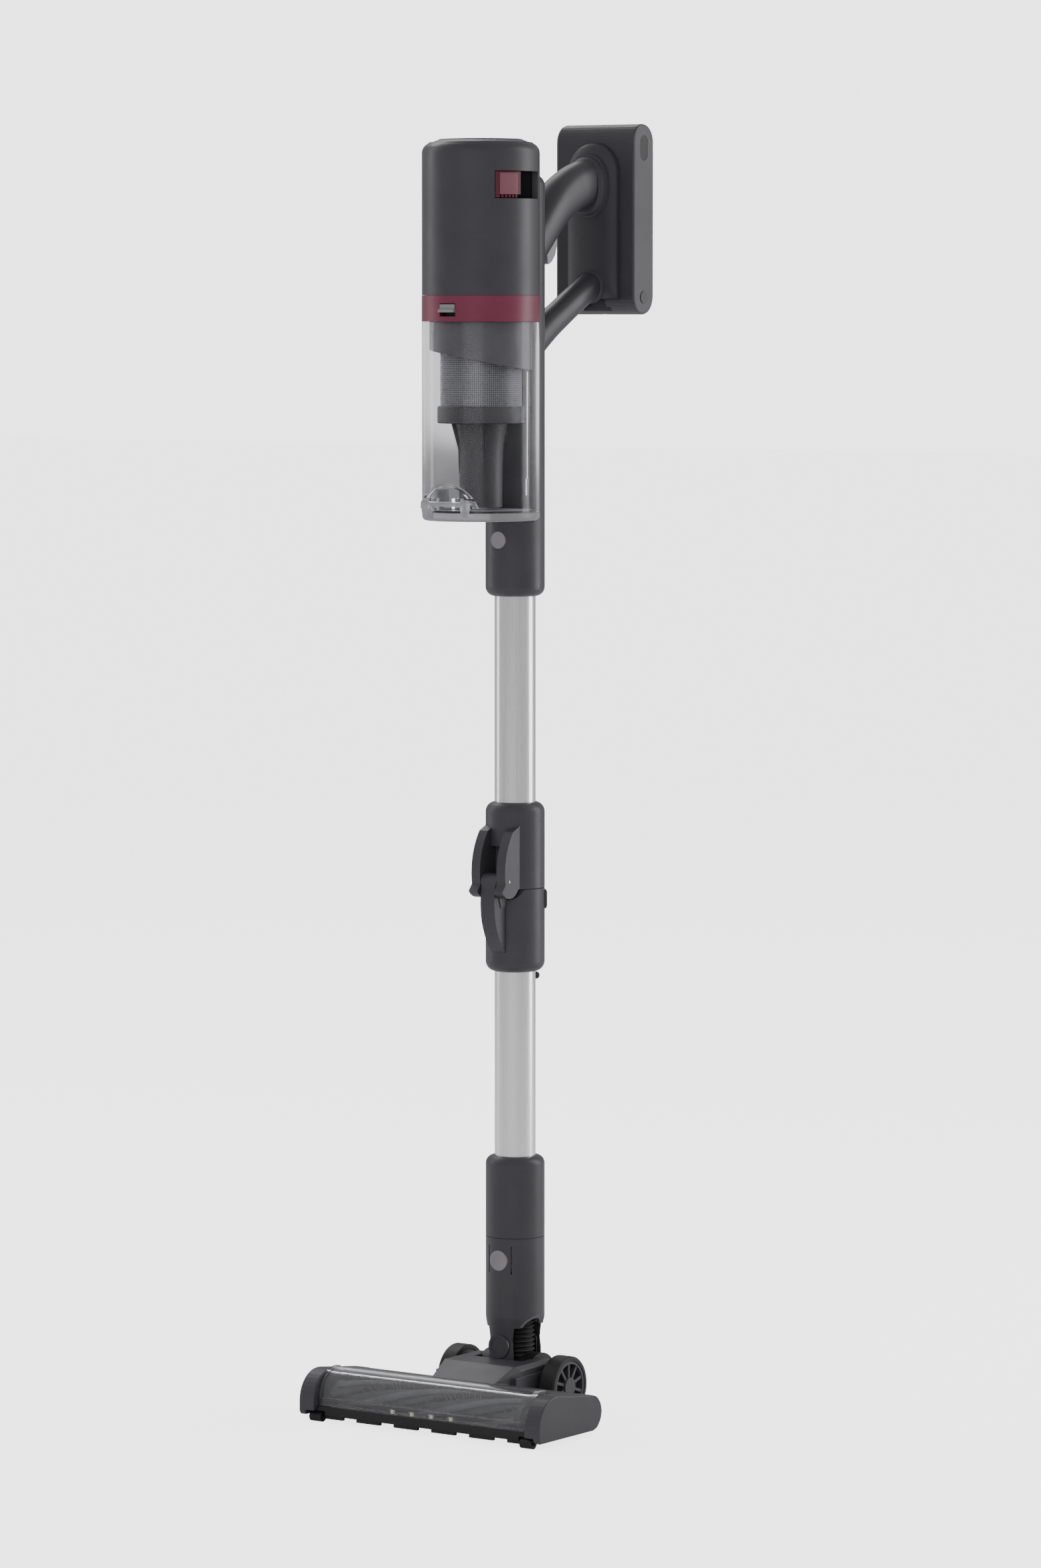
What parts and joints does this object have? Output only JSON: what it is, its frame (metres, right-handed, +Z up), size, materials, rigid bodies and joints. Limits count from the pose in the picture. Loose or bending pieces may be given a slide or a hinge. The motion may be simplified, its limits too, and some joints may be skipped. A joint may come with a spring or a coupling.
{
  "type": "cordless stick vacuum",
  "caption": "Cordless stick vacuum with a wide floor head, swivel neck, folding aluminium wand, clear dust bin, cyclone, motor unit and rear battery grip.",
  "frame": {"origin": "centre of the bounding box on the floor, between the wheels' contact line and the front rollers", "axes": "+Z up along the wand, +X to the right of the head as seen from the front, -Y to the front of the head"},
  "size_m": [0.249, 0.302, 1.111],
  "materials": {
    "charcoal_plastic": "fine satin texture",
    "black_plastic": "matte",
    "smoky_clear": "clear, smoke tint",
    "black_rubber": "matte",
    "satin_aluminium": "satin, fine drawn grain",
    "steel": "brushed",
    "maroon_plastic": "satin",
    "grey_plastic": "satin",
    "bristle_nylon": "tufts",
    "led_lens": "clear warm lens",
    "cell_wrap": "shrink wrap over steel cans"
  },
  "bodies": {
    "floor_head": {"sole_plate": "charcoal_plastic", "head_shell": "charcoal_plastic", "brush_window": "smoky_clear", "end_cap_left": "charcoal_plastic", "end_cap_right": "charcoal_plastic", "front_strip": "black_plastic", "led_lenses": "led_lens", "brush_motor": "steel", "drive_belt": "black_rubber", "suction_duct": "black_plastic", "wheel_axles": "steel", "tilt_pins": "steel"},
    "wheel_left": {"wheel_hub_left": "charcoal_plastic", "tyre_left": "black_rubber"},
    "wheel_right": {"wheel_hub_right": "charcoal_plastic", "tyre_right": "black_rubber"},
    "roller_left": {"front_roller_left": "black_plastic"},
    "roller_right": {"front_roller_right": "black_plastic"},
    "brush": {"brush_core": "grey_plastic", "brush_bristles": "bristle_nylon"},
    "brush_drive": {"motor_pulley": "steel"},
    "tilt_yoke": {"tilt_yoke": "black_plastic", "neck_hose": "black_rubber"},
    "lower_wand": {"neck_tube": "charcoal_plastic", "swivel_pins": "charcoal_plastic", "wand_collar": "charcoal_plastic", "lower_tube": "satin_aluminium", "elbow_lower": "charcoal_plastic", "elbow_pin": "steel", "storage_stud": "black_plastic", "elbow_hose": "black_rubber"},
    "neck_button": {"neck_button": "grey_plastic"},
    "elbow_latch": {"elbow_latch": "black_plastic"},
    "main_unit": {"elbow_upper": "charcoal_plastic", "upper_tube": "satin_aluminium", "spine_duct": "charcoal_plastic", "motor_housing": "charcoal_plastic", "top_cap": "charcoal_plastic", "lock_band": "maroon_plastic", "suction_motor": "steel", "cyclone_shroud": "charcoal_plastic", "mesh_screen": "steel", "cyclone_cone": "charcoal_plastic", "grip_arm": "charcoal_plastic", "lower_brace": "charcoal_plastic", "battery_mount": "charcoal_plastic"},
    "socket_button": {"socket_button": "grey_plastic"},
    "ring_latch": {"ring_latch": "grey_plastic"},
    "side_slider": {"side_slider": "maroon_plastic"},
    "impeller": {"impeller": "grey_plastic"},
    "bin": {"dust_bin": "smoky_clear"},
    "lid_latch": {"lid_latch": "charcoal_plastic"},
    "bin_lid": {"bin_lid": "smoky_clear", "lid_seal": "black_rubber"},
    "trigger": {"trigger": "black_plastic"},
    "battery": {"battery_case": "charcoal_plastic", "battery_cells": "cell_wrap", "charge_indicator": "black_plastic"},
    "battery_button": {"battery_button": "grey_plastic"}
  },
  "joints": [
    {"name": "wheel_left_spin", "type": "hinge", "parent": "floor_head", "child": "wheel_left", "pos_m": [-0.05, -0.009, 0.0264], "axis": [1, 0, 0], "continuous": true},
    {"name": "wheel_right_spin", "type": "hinge", "parent": "floor_head", "child": "wheel_right", "pos_m": [0.05, -0.009, 0.0264], "axis": [1, 0, 0], "continuous": true},
    {"name": "roller_left_spin", "type": "hinge", "parent": "floor_head", "child": "roller_left", "pos_m": [-0.109, -0.145, 0.0042], "axis": [1, 0, 0], "continuous": true},
    {"name": "roller_right_spin", "type": "hinge", "parent": "floor_head", "child": "roller_right", "pos_m": [0.109, -0.145, 0.0042], "axis": [1, 0, 0], "continuous": true},
    {"name": "brush_spin", "type": "hinge", "parent": "floor_head", "child": "brush", "pos_m": [0, -0.12, 0.0205], "axis": [1, 0, 0], "continuous": true},
    {"name": "brush_drive_spin", "type": "hinge", "parent": "floor_head", "child": "brush_drive", "pos_m": [0.097, -0.084, 0.022], "axis": [1, 0, 0], "continuous": true},
    {"name": "neck_tilt", "type": "hinge", "parent": "floor_head", "child": "tilt_yoke", "pos_m": [0, -0.004, 0.028], "axis": [-1, 0, 0], "range_deg": [0, 75]},
    {"name": "neck_swivel", "type": "hinge", "parent": "tilt_yoke", "child": "lower_wand", "pos_m": [0, -0.004, 0.0587], "axis": [0, 1, 0], "range_deg": [-40, 40], "deforming": ["neck_hose"]},
    {"name": "neck_button_press", "type": "slide", "parent": "lower_wand", "child": "neck_button", "axis": [0, 1, 0], "range_m": [0, 0.002], "stiffness_N_per_m": 500, "springref_m": -0.002},
    {"name": "elbow_latch_press", "type": "slide", "parent": "lower_wand", "child": "elbow_latch", "axis": [0, -1, 0], "range_m": [0, 0.0016], "stiffness_N_per_m": 600, "springref_m": -0.002},
    {"name": "wand_fold", "type": "hinge", "parent": "lower_wand", "child": "main_unit", "pos_m": [0, -0.0374, 0.4626], "axis": [1, 0, 0], "range_deg": [0, 90], "deforming": ["elbow_hose"]},
    {"name": "socket_button_press", "type": "slide", "parent": "main_unit", "child": "socket_button", "axis": [0, 1, 0], "range_m": [0, 0.002], "stiffness_N_per_m": 500, "springref_m": -0.002},
    {"name": "ring_latch_slide", "type": "slide", "parent": "main_unit", "child": "ring_latch", "axis": [0, 0, -1], "range_m": [0, 0.0025], "stiffness_N_per_m": 300, "springref_m": -0.003},
    {"name": "power_slider_turn", "type": "hinge", "parent": "main_unit", "child": "side_slider", "pos_m": [0, -0.0555, 1.055], "axis": [0, 0, 1], "range_deg": [0, 31]},
    {"name": "impeller_spin", "type": "hinge", "parent": "main_unit", "child": "impeller", "pos_m": [0, -0.0555, 0.975], "axis": [0, 0, 1], "continuous": true},
    {"name": "bin_twist", "type": "hinge", "parent": "main_unit", "child": "bin", "pos_m": [0, -0.0555, 0.86], "axis": [0, 0, 1], "range_deg": [0, 15]},
    {"name": "lid_latch_turn", "type": "hinge", "parent": "bin", "child": "lid_latch", "pos_m": [0, -0.0555, 0.785], "axis": [0, 0, 1], "range_deg": [0, 6], "stiffness_Nm_per_rad": 0.8, "springref_deg": -3.44},
    {"name": "lid_swing", "type": "hinge", "parent": "bin", "child": "bin_lid", "pos_m": [0, -0.1083, 0.787], "axis": [-1, 0, 0], "range_deg": [0, 85]},
    {"name": "trigger_pull", "type": "slide", "parent": "main_unit", "child": "trigger", "axis": [0, 1, 0], "range_m": [0, 0.004], "stiffness_N_per_m": 300, "springref_m": -0.003},
    {"name": "battery_lift", "type": "slide", "parent": "main_unit", "child": "battery", "axis": [0, 0, 1], "range_m": [0, 0.06]},
    {"name": "battery_button_press", "type": "slide", "parent": "battery", "child": "battery_button", "axis": [-1, 0, 0], "range_m": [0, 0.0015], "stiffness_N_per_m": 600, "springref_m": -0.002}
  ],
  "couplings": [
    {"joint": "brush_drive_spin", "follows": "brush_spin", "ratio": 1.6}
  ]
}
